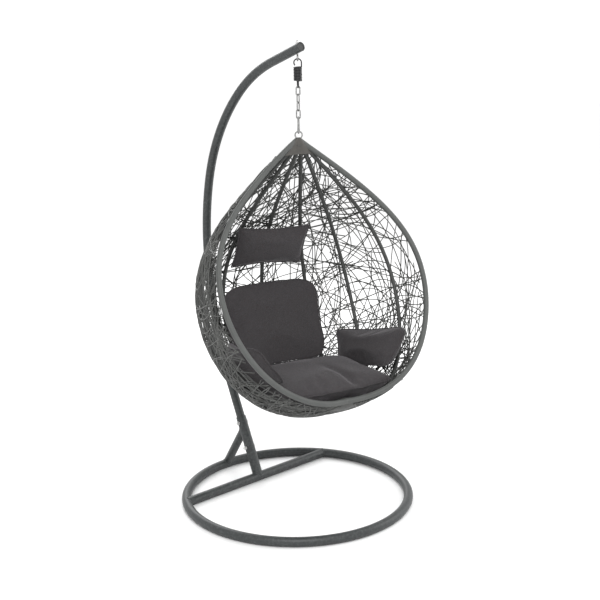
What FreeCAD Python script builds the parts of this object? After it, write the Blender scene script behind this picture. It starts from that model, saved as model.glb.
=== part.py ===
"""Hanging egg chair: tubular stand, sprung chain and a wicker egg basket with cushions.

Millimetres, +Z up. The floor is z = 0, the sitter faces -Y, and the origin is on the floor under the
middle of the chair's bounding box. The stand's ring lies on the floor, its mast leans back, rises
behind the basket and curves forward over it, and the basket hangs from the mast's tip on one
vertical line, the hook axis.
"""
import FreeCAD, Part
import math
import os
import Sketcher

V = FreeCAD.Vector
X_AXIS = V(1, 0, 0)
Y_AXIS = V(0, 1, 0)
Z_AXIS = V(0, 0, 1)
ORIGIN = V(0, 0, 0)

DIMENSIONS = [
    # stand
    ("ring_centre_y", -46, "middle of the floor ring"),
    ("ring_radius", 485, "floor ring, to the tube's centreline"),
    ("frame_tube", 40, "outside diameter of ring and cross bar"),
    ("frame_wall", 2, "wall of ring, cross bar and brace"),
    ("cross_bar_y", 261, "cross bar behind the ring's middle"),
    ("post_lean", 23.5, "lean of the lower post, degrees"),
    ("post_tube", 45, "outside diameter of the lower post"),
    ("post_wall", 3, "wall of the lower post"),
    ("post_length", 283, "lower post, from the cross bar's axis"),
    ("brace_tube", 38, "outside diameter of the rear brace"),
    ("brace_lean", 33, "lean of the rear brace, degrees"),
    ("brace_length", 247, "rear brace, from the ring's centreline to the post's axis"),
    ("mast_tube", 38, "outside diameter of the mast"),
    ("mast_wall", 2, "wall of the mast"),
    ("mast_start", 98, "mast's lower end, along the post from the cross bar's axis"),
    ("mast_straight", 360, "straight foot of the mast"),
    ("bend_low_radius", 1610, "mast bend from the lean to the vertical"),
    ("bend_low_turn", 23.5, "degrees"),
    ("bend_rise_radius", 1200, "first forward bend"),
    ("bend_rise_turn", 13, "degrees"),
    ("bend_crown_radius", 780, "second forward bend"),
    ("bend_crown_turn", 33, "degrees"),
    ("bend_tip_radius", 600, "last forward bend"),
    ("bend_tip_turn", 24, "degrees"),
    ("arm_straight", 186, "straight end of the arm"),
    ("bolt_size", 8, "thread diameter of all stand fasteners"),
    ("bolt_clearance", 0.4, "bolt holes over the thread"),
    ("nut_flats", 13, "across flats of the nuts and bolt heads"),
    ("nut_height", 6.5, "plain nut"),
    ("washer_outer", 16, "washer outside diameter"),
    ("washer_height", 1.6, "washer thickness"),
    ("low_bolt", 140, "lower joint bolt, along the post from the cross bar's axis"),
    ("high_bolt", 256, "upper joint bolt, likewise"),
    # hook line
    ("hook_y", -40, "hook axis from the ring's middle"),
    ("hardware_turn", -45, "turn of the hook line's own frame about the vertical, degrees"),
    ("eye_wire", 7, "eye bolt wire"),
    ("eye_radius", 10, "eye bolt ring, to the wire's centre"),
    ("eye_z", 1890, "middle of the eye"),
    ("eye_shank", 58, "eye bolt shank, from the top of the eye"),
    ("spring_wire", 5.6, "spring wire"),
    ("coil_radius", 15, "spring coil, to the wire's centre"),
    ("coil_pitch", 5.5, "spring coil pitch when closed"),
    ("coil_turns", 9, "turns between the two end turns"),
    ("hook_leg", 14, "from an end turn to its hook's centre"),
    ("link_wire", 5, "chain wire"),
    ("link_radius", 7.5, "chain link end, to the wire's centre"),
    ("link_pitch", 36, "chain link, between the wire centres at its two ends"),
    ("snap_wire", 6.5, "snap hook wire"),
    ("snap_pitch", 63.5, "snap hook, between the wire centres at its two ends"),
    ("snap_top_radius", 6.5, "snap hook's narrow end, to the wire's centre"),
    ("snap_low_radius", 11.5, "snap hook's wide end, to the wire's centre"),
    ("gate_start", 1.6, "clearance above the gate's pivot, so that its corner can swing"),
    ("top_ring_wire", 5.5, "basket's top ring wire"),
    ("top_ring_radius", 14.3, "basket's top ring, to the wire's centre"),
    ("pivot_gap", 0.3, "clearance between wires that hang in each other"),
    # basket
    ("basket_turn", -14, "turn of the basket at rest about the hook axis, degrees"),
    ("rim_tube", 23, "wrapped rim"),
    ("rib_rod", 17, "wrapped rib"),
    ("crown_base_z", 1510, "underside of the wrapped crown"),
    ("crown_top_z", 1574, "top of the wrapped crown"),
    ("lip_wrap_width", 128, "wrapped gusset at the front lip, where the ribs end"),
    ("lip_wrap_depth", 84, "wrapped gusset, front to back"),
    ("lip_wrap_height", 44, "wrapped gusset"),
    ("lip_wrap_y", -338, "middle of the gusset, from the hook axis in the basket's own frame"),
    ("lip_wrap_z", 540, "middle of the gusset"),
    ("lip_wrap_lean", -38, "gusset tips down at the back, degrees"),
    ("weave_gap", 1, "between the ribs and the weave"),
    ("weave_thickness", 3, "woven strands, both layers together"),
    ("section_power", 2.57, "squareness of the basket's cross-section; 2 is an ellipse"),
    # cushions
    ("seam_band", 12, "edge band of every cushion, face to face"),
    ("back_cushion_half", 55, "half thickness of the back cushion"),
    ("arm_cushion_half", 56, "half thickness of an arm cushion"),
    ("arm_left_down", 0.722, "middle of the left arm cushion, as a station of the basket, 0 to 1"),
    ("arm_right_down", 0.71, "middle of the right arm cushion, likewise"),
    ("cushion_gap", 5, "between the ribs and the cushions that line the basket"),
    ("back_x", -20, "middle of the back cushion, in the basket's own frame"),
    ("back_z", 757, "middle of the back cushion"),
    ("back_half_width", 236, "back cushion"),
    ("back_half_height", 172, "back cushion"),
    ("seat_half_width", 300, "seat cushion"),
    ("seat_half_depth", 235, "seat cushion"),
    ("seat_half_height", 80, "seat cushion"),
    ("seat_y", -118, "middle of the seat cushion from the hook axis"),
    ("seat_z", 560, "middle of the seat cushion"),
    ("seat_front_lift", 40, "rise of the seat cushion's front edge onto the basket's lip"),
    ("seat_back_lift", 22, "rise of its back edge towards the back cushion"),
    ("pillow_half_width", 172, "head pillow"),
    ("pillow_half_height", 95, "head pillow"),
    ("pillow_half_depth", 42, "head pillow"),
    ("pillow_x", -20, "middle of the head pillow"),
    ("pillow_y", 226, "middle of the head pillow from the hook axis"),
    ("pillow_z", 1094, "middle of the head pillow"),
    ("pillow_lean", 22, "head pillow tips forward at the top, degrees"),
    ("pillow_roll", 3, "head pillow's tilt in its own plane, degrees"),
]

# The basket's two guide curves, at seven even stations from the apex (first) to the front lip
# (last), each point (out from the symmetry plane, back from the hook axis, height).
RIM_GUIDE = [(0, 0, 1570), (114, -6, 1485), (343, -76, 1287), (458, -183, 1071),
             (430, -292, 843), (279, -379, 649), (0, -367, 562)]
BACK_GUIDE = [(0, 0, 1570), (0, 86, 1428), (0, 299, 1125), (0, 348, 823),
              (0, 196, 562), (0, -63, 449), (0, -367, 562)]
# Each rib's place across the basket, 0 at the back and 1 at the rim, and where its upper end starts.
RIB_PLACES = [("rib_centre", 0.0, 0.075), ("rib_left_1", -0.237, 0.075), ("rib_right_1", 0.237, 0.075),
              ("rib_left_2", -0.518, 0.088), ("rib_right_2", 0.518, 0.088), ("rib_left_3", -0.828, 0.142),
              ("rib_right_3", 0.828, 0.142)]
# The crown's two ends: name, height, half width, and how far it reaches forward and back.
CROWN_LAYERS = [("CrownBase", "crown_base_z", 100, -15, 36), ("CrownTop", "crown_top_z", 12, -9, 9)]
# How far the weave reaches: across from the middle towards each rim, and from its top to the lip.
WEAVE_ACROSS = 0.93
WEAVE_DOWN = (0.17, 0.94)
RIM_START = 0.075
RIB_LOW_END = 0.968
LINK_TURNS = [10, 305, 240, 170]
BOTTOM_HOOK_TURN = 100
SNAP_TURN = 82

doc = FreeCAD.newDocument("HangingEggChair")
dims = doc.addObject("Spreadsheet::Sheet", "Dims")
for row, (alias, number, meaning) in enumerate(DIMENSIONS, start=1):
    dims.set(f"A{row}", meaning)
    dims.set(f"B{row}", str(number))
    dims.setAlias(f"B{row}", alias)
doc.recompute()

pieces = {}


def size(alias):
    """The sheet's number for one alias."""
    return float(dims.get(alias))


def bind(thing, **formulas):
    """Bind properties of an object to sheet formulas, with every alias written as Dims.alias."""
    for name, formula in formulas.items():
        thing.setExpression(name.replace("__", "."), formula)


def keep(label, thing):
    """Name a finished sub-part."""
    thing.Label = label
    pieces[label] = thing
    return thing


def place(thing, x="0", y="0", z="0", axis=X_AXIS, angle="0"):
    """Bind an object's placement; x, y, z and angle are sheet formulas."""
    thing.Placement = FreeCAD.Placement(ORIGIN, FreeCAD.Rotation(axis, 1))
    bind(thing, Placement__Base__x=x, Placement__Base__y=y, Placement__Base__z=z)
    bind(thing, Placement__Rotation__Angle=angle)


def place_on_hook_line(thing, z, turn):
    """Place an object on the hook axis, turned about it from the hook line's own frame."""
    spot = "Dims.ring_centre_y + Dims.hook_y"
    place(thing, y=spot, z=z, axis=Z_AXIS, angle=f"Dims.hardware_turn + {turn}")


def new_body(name):
    return doc.addObject("PartDesign::Body", name)


def sketch_on(body, role, name, lift=None):
    """A sketch on one of the body's own origin planes, lifted off it by a formula if one is given."""
    sketch = body.newObject("Sketcher::SketchObject", name)
    plane = next(feature for feature in body.Origin.OriginFeatures if feature.Role == role)
    sketch.AttachmentSupport = (plane, [""])
    sketch.MapMode = "FlatFace"
    if lift:
        bind(sketch, AttachmentOffset__Base__z=lift)
    return sketch


def constrain(sketch, kind, *where, formula):
    """Add one dimension to a sketch and bind it."""
    index = sketch.addConstraint(Sketcher.Constraint(kind, *where))
    sketch.setExpression(f"Constraints[{index}]", formula)


def circle_in(sketch, diameter, formula, x=0.0, x_formula=None, y=0.0, y_formula=None):
    """A circle in a sketch, on the origin unless x or y is given."""
    index = sketch.addGeometry(Part.Circle(V(x, y, 0), Z_AXIS, diameter / 2))
    constrain(sketch, "Diameter", index, diameter, formula=formula)
    if x_formula:
        constrain(sketch, "DistanceX", -1, 1, index, 3, x, formula=x_formula)
        sketch.addConstraint(Sketcher.Constraint("PointOnObject", index, 3, -1))
    elif y_formula:
        constrain(sketch, "DistanceY", -1, 1, index, 3, y, formula=y_formula)
        sketch.addConstraint(Sketcher.Constraint("PointOnObject", index, 3, -2))
    else:
        sketch.addConstraint(Sketcher.Constraint("Coincident", index, 3, -1, 1))


def hexagon_in(sketch, flats, formula):
    """A hexagon about the sketch's origin, given across its flats."""
    corner = flats / math.sqrt(3)
    corners = [V(corner * math.cos(k * math.pi / 3), corner * math.sin(k * math.pi / 3), 0) for k in range(6)]
    guide = sketch.addGeometry(Part.Circle(ORIGIN, Z_AXIS, corner), True)
    sketch.addConstraint(Sketcher.Constraint("Coincident", guide, 3, -1, 1))
    constrain(sketch, "Diameter", guide, 2 * corner, formula=f"{formula} * 2 / sqrt(3)")
    sides = [sketch.addGeometry(Part.LineSegment(corners[k], corners[(k + 1) % 6])) for k in range(6)]
    for k, side in enumerate(sides):
        sketch.addConstraint(Sketcher.Constraint("Coincident", side, 2, sides[(k + 1) % 6], 1))
        sketch.addConstraint(Sketcher.Constraint("PointOnObject", side, 1, guide))
        if k:
            sketch.addConstraint(Sketcher.Constraint("Equal", side, sides[0]))


def pad(body, sketch, name, formula):
    feature = body.newObject("PartDesign::Pad", name)
    feature.Profile = sketch
    bind(feature, Length=formula)
    sketch.Visibility = False
    return feature


def revolve(body, sketch, name, axis):
    """A full turn of a sketch about its own horizontal or vertical axis."""
    feature = body.newObject("PartDesign::Revolution", name)
    feature.Profile = sketch
    feature.ReferenceAxis = (sketch, [axis])
    feature.Angle = 360
    return feature


def pipe(body, profile, spine, name):
    feature = body.newObject("PartDesign::AdditivePipe", name)
    feature.Profile = profile
    feature.Spine = spine
    return feature


def cylinder(name, diameter, length):
    """A Part cylinder along its own +Z; both sizes are sheet formulas."""
    thing = doc.addObject("Part::Cylinder", name)
    bind(thing, Radius=f"({diameter}) / 2", Height=length)
    return thing


def cut(name, base, tool):
    thing = doc.addObject("Part::Cut", name)
    thing.Base = base
    thing.Tool = tool
    return thing


def tube(name, diameter, wall, length):
    """Two coaxial cylinders, outer and inner, for a coped tube."""
    return cylinder(name + "_outer", diameter, length), cylinder(name + "_bore", f"{diameter} - 2 * {wall}", length)


# ---------------------------------------------------------------- stand

POST_Y = "Dims.ring_centre_y + Dims.cross_bar_y"
FLOOR_TUBE_Z = "Dims.frame_tube / 2"


def on_post(alias):
    """Formulas for a point on the lower post's axis, at a sheet distance from the cross bar's axis."""
    y = f"{POST_Y} + Dims.{alias} * sin(Dims.post_lean * 1 deg)"
    z = f"{FLOOR_TUBE_Z} + Dims.{alias} * cos(Dims.post_lean * 1 deg)"
    return y, z


def make_base_ring():
    """The round floor ring, one hollow tube."""
    body = new_body("RingBody")
    sketch = sketch_on(body, "XZ_Plane", "RingSection")
    radius = size("ring_radius")
    circle_in(sketch, size("frame_tube"), "Dims.frame_tube", x=radius, x_formula="Dims.ring_radius")
    bore = size("frame_tube") - 2 * size("frame_wall")
    circle_in(sketch, bore, "Dims.frame_tube - 2 * Dims.frame_wall", x=radius, x_formula="Dims.ring_radius")
    revolve(body, sketch, "RingTurn", "V_Axis")
    place(body, y="Dims.ring_centre_y", z=FLOOR_TUBE_Z)
    keep("base_ring", body)


def ring_envelope(name):
    """The floor ring as a plain torus, for coping the tubes that meet it."""
    ring = doc.addObject("Part::Torus", name)
    bind(ring, Radius1="Dims.ring_radius", Radius2="Dims.frame_tube / 2")
    place(ring, y="Dims.ring_centre_y", z=FLOOR_TUBE_Z)
    return ring


def make_cross_bar():
    """The straight bar across the ring, coped to the ring at both ends."""
    half = "sqrt(Dims.ring_radius * Dims.ring_radius - Dims.cross_bar_y * Dims.cross_bar_y)"
    outer, bore = tube("Bar", "Dims.frame_tube", "Dims.frame_wall", f"2 * {half}")
    for thing in (outer, bore):
        place(thing, x=f"-{half}", y=POST_Y, z=FLOOR_TUBE_Z, axis=Y_AXIS, angle="90")
    keep("cross_bar", cut("BarCoped", cut("BarTube", outer, bore), ring_envelope("BarRing")))


def make_lower_post():
    """The leaning socket welded on the cross bar, which holds the mast's foot."""
    outer, bore = tube("Post", "Dims.post_tube", "Dims.post_wall", "Dims.post_length")
    for thing in (outer, bore):
        place(thing, y=POST_Y, z=FLOOR_TUBE_Z, angle="-Dims.post_lean")
    bar = cylinder("PostBar", "Dims.frame_tube", "Dims.post_tube * 2")
    place(bar, x="-Dims.post_tube", y=POST_Y, z=FLOOR_TUBE_Z, axis=Y_AXIS, angle="90")
    coped = cut("PostCoped", cut("PostTube", outer, bore), bar)
    keep("lower_post", drilled("Post", coped))


def drilled(name, thing):
    """Cut the two joint bolt holes, along X, through a post or mast tube."""
    for place_name in ("low_bolt", "high_bolt"):
        hole = cylinder(f"{name}_{place_name}", "Dims.bolt_size + Dims.bolt_clearance", "Dims.post_tube * 2")
        y, z = on_post(place_name)
        place(hole, x="-Dims.post_tube", y=y, z=z, axis=Y_AXIS, angle="90")
        thing = cut(f"{name}_{place_name}_cut", thing, hole)
    return thing


def make_rear_brace():
    """The strut from the back of the ring up to the lower post, coped at both ends."""
    outer, bore = tube("Brace", "Dims.brace_tube", "Dims.frame_wall", "Dims.brace_length")
    for thing in (outer, bore):
        place(thing, y="Dims.ring_centre_y + Dims.ring_radius", z=FLOOR_TUBE_Z, angle="Dims.brace_lean")
    post = cylinder("BracePost", "Dims.post_tube", "Dims.post_length")
    place(post, y=POST_Y, z=FLOOR_TUBE_Z, angle="-Dims.post_lean")
    coped = cut("BraceCoped", cut("BraceTube", outer, bore), ring_envelope("BraceRing"))
    keep("rear_brace", cut("BraceFitted", coped, post))


def make_mast():
    """The bent tube from the post's socket to the arm's tip, drilled for its bolts and the eye bolt."""
    body = new_body("MastBody")
    spine = sketch_on(body, "YZ_Plane", "MastLine")
    corner = V(0, size("mast_straight"), 0)
    previous = spine.addGeometry(Part.LineSegment(ORIGIN, corner))
    spine.addConstraint(Sketcher.Constraint("Coincident", previous, 1, -1, 1))
    spine.addConstraint(Sketcher.Constraint("PointOnObject", previous, 2, -2))
    constrain(spine, "DistanceY", previous, 1, previous, 2, corner.y, formula="Dims.mast_straight")
    heading = 0.0
    for bend in ("low", "rise", "crown", "tip"):
        radius = size(f"bend_{bend}_radius")
        turn = math.radians(size(f"bend_{bend}_turn"))
        centre = corner - V(math.cos(heading), math.sin(heading), 0) * radius
        arc = spine.addGeometry(Part.ArcOfCircle(Part.Circle(centre, Z_AXIS, radius), heading, heading + turn))
        spine.addConstraint(Sketcher.Constraint("Tangent", previous, 2, arc, 1))
        constrain(spine, "Radius", arc, radius, formula=f"Dims.bend_{bend}_radius")
        heading += turn
        corner = centre + V(math.cos(heading), math.sin(heading), 0) * radius
        previous = arc
    tip = corner + V(-math.sin(heading), math.cos(heading), 0) * size("arm_straight")
    end = spine.addGeometry(Part.LineSegment(corner, tip))
    spine.addConstraint(Sketcher.Constraint("Tangent", previous, 2, end, 1))
    constrain(spine, "Distance", end, 1, end, 2, size("arm_straight"), formula="Dims.arm_straight")
    section = sketch_on(body, "XY_Plane", "MastSection")
    circle_in(section, size("mast_tube"), "Dims.mast_tube")
    circle_in(section, size("mast_tube") - 2 * size("mast_wall"), "Dims.mast_tube - 2 * Dims.mast_wall")
    pipe(body, section, spine, "MastPipe")
    y, z = on_post("mast_start")
    place(body, y=y, z=z, angle="-Dims.post_lean")
    eye_hole = cylinder("MastEyeHole", "Dims.bolt_size + Dims.bolt_clearance", "Dims.mast_tube * 3")
    place(eye_hole, y="Dims.ring_centre_y + Dims.hook_y", z="Dims.eye_z")
    keep("mast", cut("MastEyeCut", drilled("Mast", body), eye_hole))
    doc.recompute()
    start = body.Placement
    return start.multVec(V(0, corner.x, corner.y)), start.multVec(V(0, tip.x, tip.y))


def place_copies(label, original, places):
    """One node that groups separate copies of a solid, each at its own placement."""
    doc.recompute()
    solids = []
    for spot in places:
        solid = original.Shape.copy()
        solid.Placement = spot.multiply(original.Placement)
        solids.append(solid)
    group = doc.addObject("Part::Feature", label)
    group.Shape = Part.makeCompound(solids)
    keep(label, group)


def joint_spots(x):
    """Placements on the two joint bolts' axes, x off the symmetry plane, local +Z towards +X."""
    lean = math.radians(size("post_lean"))
    spots = []
    for alias in ("low_bolt", "high_bolt"):
        y = size("ring_centre_y") + size("cross_bar_y") + size(alias) * math.sin(lean)
        z = size("frame_tube") / 2 + size(alias) * math.cos(lean)
        spots.append(FreeCAD.Placement(V(x, y, z), FreeCAD.Rotation(Y_AXIS, 90)))
    return spots


def make_joint_fasteners():
    """Two bolts through post and mast, with their washers and domed nuts."""
    seat = size("post_tube") / 2 + size("washer_height")
    bolt = new_body("JointBolt")
    head = sketch_on(bolt, "XY_Plane", "BoltHeadSection")
    hexagon_in(head, size("nut_flats"), "Dims.nut_flats")
    pad(bolt, head, "BoltHead", "Dims.nut_height * 0.8")
    shank = sketch_on(bolt, "XY_Plane", "BoltShankSection")
    circle_in(shank, size("bolt_size"), "Dims.bolt_size")
    stem = pad(bolt, shank, "BoltShank", "Dims.post_tube + 2 * Dims.washer_height + Dims.nut_height")
    stem.Reversed = True
    place_copies("joint_bolts", bolt, joint_spots(seat))

    washer = new_body("JointWasher")
    plate = sketch_on(washer, "XY_Plane", "WasherSection")
    circle_in(plate, size("washer_outer"), "Dims.washer_outer")
    circle_in(plate, size("bolt_size") + 0.1, "Dims.bolt_size + 0.1")
    pad(washer, plate, "WasherPlate", "Dims.washer_height")
    post = size("post_tube") / 2
    place_copies("joint_washers", washer, joint_spots(post) + joint_spots(-seat))

    nut = new_body("JointNut")
    block = sketch_on(nut, "XY_Plane", "NutSection")
    hexagon_in(block, size("nut_flats"), "Dims.nut_flats")
    circle_in(block, size("bolt_size") + 0.1, "Dims.bolt_size + 0.1")
    pad(nut, block, "NutBlock", "Dims.nut_height")
    dome = sketch_on(nut, "XZ_Plane", "DomeSection")
    radius = size("nut_flats") * 0.46
    base = size("nut_height")
    outline = [
        Part.LineSegment(V(0, base, 0), V(radius, base, 0)),
        Part.ArcOfCircle(Part.Circle(V(0, base, 0), Z_AXIS, radius), 0, math.pi / 2),
        Part.LineSegment(V(0, base + radius, 0), V(0, base, 0)),
    ]
    for line in outline:
        dome.addGeometry(line)
    for first, second in ((0, 1), (1, 2), (2, 0)):
        dome.addConstraint(Sketcher.Constraint("Coincident", first, 2, second, 1))
    constrain(dome, "Radius", 1, radius, formula="Dims.nut_flats * 0.46")
    revolve(nut, dome, "NutDome", "V_Axis")
    flip = FreeCAD.Placement(ORIGIN, FreeCAD.Rotation(X_AXIS, 180))
    place_copies("joint_nuts", nut, [spot.multiply(flip) for spot in joint_spots(-seat)])
    for thing in (bolt, washer, nut):
        thing.Visibility = False


def make_arm_end_cap(corner, tip):
    """The plastic plug in the arm's tip: raised rim, dished middle, tapered stem."""
    body = new_body("EndCap")
    sketch = sketch_on(body, "XZ_Plane", "EndCapSection")
    outer = size("mast_tube") / 2
    inner = outer - size("mast_wall") - 0.2
    rim_height, dish, stem = 5.0, 2.5, 8.0
    outline = [(0, -stem), (inner - 1, -stem), (inner, 0), (outer, 0), (outer, rim_height - 1.5),
               (outer - 1.5, rim_height), (outer - 4.5, rim_height), (outer - 6, rim_height - dish),
               (0, rim_height - dish)]
    corners = [V(x, y, 0) for x, y in outline]
    count = len(corners)
    lines = [sketch.addGeometry(Part.LineSegment(corners[k], corners[(k + 1) % count])) for k in range(count)]
    for k, line in enumerate(lines):
        sketch.addConstraint(Sketcher.Constraint("Coincident", line, 2, lines[(k + 1) % count], 1))
    constrain(sketch, "DistanceX", -1, 1, lines[3], 1, outer, formula="Dims.mast_tube / 2")
    revolve(body, sketch, "EndCapTurn", "V_Axis")
    body.Placement = FreeCAD.Placement(tip, FreeCAD.Rotation(Z_AXIS, tip - corner))
    keep("arm_end_cap", body)


def make_eye_bolt(corner, tip):
    """The eye bolt through the arm's tip, its saddle washer and its nut. The nut's top is returned."""
    body = new_body("EyeBolt")
    ring = sketch_on(body, "XY_Plane", "EyeSection")
    circle_in(ring, size("eye_wire"), "Dims.eye_wire", y=size("eye_radius"), y_formula="Dims.eye_radius")
    revolve(body, ring, "EyeRing", "H_Axis")
    shank = sketch_on(body, "XY_Plane", "EyeShankSection", lift="Dims.eye_radius + 2")
    circle_in(shank, size("bolt_size"), "Dims.bolt_size")
    pad(body, shank, "EyeShank", "Dims.eye_shank - 2")
    place_on_hook_line(body, "Dims.eye_z", 0)
    keep("eye_bolt", body)

    along = (tip - corner).normalize()
    hook_y = size("ring_centre_y") + size("hook_y")
    axis_z = corner.z + (hook_y - corner.y) * along.z / along.y
    surface_z = axis_z + size("mast_tube") / 2 / abs(along.y)
    washer = cylinder("SaddleWasherDisc", "Dims.washer_outer", "Dims.washer_height * 4")
    bore = cylinder("SaddleWasherBore", "Dims.bolt_size + 0.1", "Dims.washer_height * 4")
    top = surface_z + 2.6
    for thing in (washer, bore):
        place(thing, y="Dims.ring_centre_y + Dims.hook_y", z=f"{top} - Dims.washer_height * 4")
    arm = cylinder("SaddleWasherArm", "Dims.mast_tube", "Dims.arm_straight")
    arm.Placement = FreeCAD.Placement(corner, FreeCAD.Rotation(Z_AXIS, tip - corner))
    keep("eye_bolt_washer", cut("SaddleWasherFit", cut("SaddleWasherPlate", washer, bore), arm))

    nut = new_body("EyeNut")
    block = sketch_on(nut, "XY_Plane", "EyeNutSection")
    hexagon_in(block, size("nut_flats"), "Dims.nut_flats")
    circle_in(block, size("bolt_size") + 0.1, "Dims.bolt_size + 0.1")
    pad(nut, block, "EyeNutBlock", "Dims.nut_height")
    place(nut, y="Dims.ring_centre_y + Dims.hook_y", z=str(top))
    keep("eye_bolt_nut", nut)


# ---------------------------------------------------------------- hook line

def hook_levels():
    """Heights of the hook line's pieces, worked down from the eye; each wire hangs in the one above."""
    gap = size("pivot_gap")
    levels = {}
    levels["eye_wire"] = size("eye_z") - size("eye_radius")
    hook_top = levels["eye_wire"] + (size("eye_wire") + size("spring_wire")) / 2 + gap
    levels["top_hook"] = hook_top - size("coil_radius")
    levels["top_turn"] = levels["top_hook"] - size("hook_leg") - size("spring_wire") / 2
    first_turn = levels["top_turn"] - size("spring_wire") - 0.2
    levels["coil_top"] = first_turn
    levels["coil_bottom"] = first_turn - (size("coil_turns") - 1) * size("coil_pitch")
    levels["low_turn"] = levels["coil_bottom"] - size("spring_wire") - 0.2
    levels["low_hook"] = levels["low_turn"] - size("hook_leg") + size("spring_wire") / 2
    wire_z = levels["low_hook"] - size("coil_radius")
    wire = size("spring_wire")
    for number in range(1, 5):
        wire_z += (wire + size("link_wire")) / 2 + gap
        levels[f"link_{number}_top"] = wire_z
        wire_z -= size("link_pitch")
        wire = size("link_wire")
    wire_z += (wire + size("snap_wire")) / 2 + gap
    levels["snap_top"] = wire_z
    wire_z -= size("snap_pitch")
    levels["snap_low"] = wire_z
    ring_top = wire_z + (size("snap_wire") + size("top_ring_wire")) / 2 + gap
    levels["top_ring"] = ring_top - size("top_ring_radius")
    return levels


def make_spring_end(label, hook_z, turn_z, direction, turn):
    """One end of the spring: its last turn, a leg and a hook. direction is 1 for the upper end."""
    body = new_body(label + "_body")
    radius = size("coil_radius")
    leg = abs(hook_z - turn_z)
    spine = sketch_on(body, "XZ_Plane", label + "_line")
    foot = spine.addGeometry(Part.LineSegment(V(radius, 0, 0), V(radius, direction * leg, 0)))
    circle = Part.Circle(V(0, direction * leg, 0), Z_AXIS, radius)
    sweep = math.radians(225)
    if direction > 0:
        bend = spine.addGeometry(Part.ArcOfCircle(circle, 0, sweep))
        spine.addConstraint(Sketcher.Constraint("Coincident", foot, 2, bend, 1))
    else:
        bend = spine.addGeometry(Part.ArcOfCircle(circle, 2 * math.pi - sweep, 2 * math.pi))
        spine.addConstraint(Sketcher.Constraint("Coincident", foot, 2, bend, 2))
    constrain(spine, "Radius", bend, radius, formula="Dims.coil_radius")
    section = sketch_on(body, "XY_Plane", label + "_section")
    circle_in(section, size("spring_wire"), "Dims.spring_wire", x=radius, x_formula="Dims.coil_radius")
    pipe(body, section, spine, label + "_pipe")
    coil = sketch_on(body, "XZ_Plane", label + "_turn_section")
    circle_in(coil, size("spring_wire"), "Dims.spring_wire", x=radius, x_formula="Dims.coil_radius")
    revolve(body, coil, label + "_turn", "V_Axis")
    place_on_hook_line(body, str(turn_z), turn)
    keep(label, body)


def make_spring_coil(levels):
    """The spring's closed turns, as a stack of rings that just merge."""
    body = new_body("CoilBody")
    section = sketch_on(body, "XZ_Plane", "CoilSection")
    radius = size("coil_radius")
    circle_in(section, size("spring_wire"), "Dims.spring_wire", x=radius, x_formula="Dims.coil_radius")
    ring = revolve(body, section, "CoilTurn", "V_Axis")
    doc.recompute()
    stack = body.newObject("PartDesign::LinearPattern", "CoilStack")
    stack.Originals = [ring]
    axis = next(feature for feature in body.Origin.OriginFeatures if feature.Role == "Z_Axis")
    stack.Direction = (axis, [""])
    bind(stack, Length="Dims.coil_pitch * (Dims.coil_turns - 1)", Occurrences="Dims.coil_turns")
    body.Tip = stack
    place_on_hook_line(body, str(levels["coil_bottom"]), 0)
    keep("spring_coil", body)


def make_chain_link(number, top_z, turn):
    """One long link: two half rings joined by two straight sides."""
    name = f"chain_link_{number}"
    half = "(Dims.link_pitch - 2 * Dims.link_radius) / 2"
    parts = []
    for end, angle, z in (("upper", "90", half), ("lower", "-90", f"-{half}")):
        ring = doc.addObject("Part::Torus", f"{name}_{end}")
        ring.Angle3 = 180
        bind(ring, Radius1="Dims.link_radius", Radius2="Dims.link_wire / 2")
        place(ring, z=z, angle=angle)
        parts.append(ring)
    for side in (-1, 1):
        bar = cylinder(f"{name}_side_{side + 1}", "Dims.link_wire", f"2 * {half}")
        place(bar, x=f"{side} * Dims.link_radius", z=f"-{half}")
        parts.append(bar)
    link = doc.addObject("Part::MultiFuse", name)
    link.Shapes = parts
    link.Refine = True
    place_on_hook_line(link, f"{top_z} - Dims.link_pitch / 2", turn)
    keep(name, link)


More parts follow.
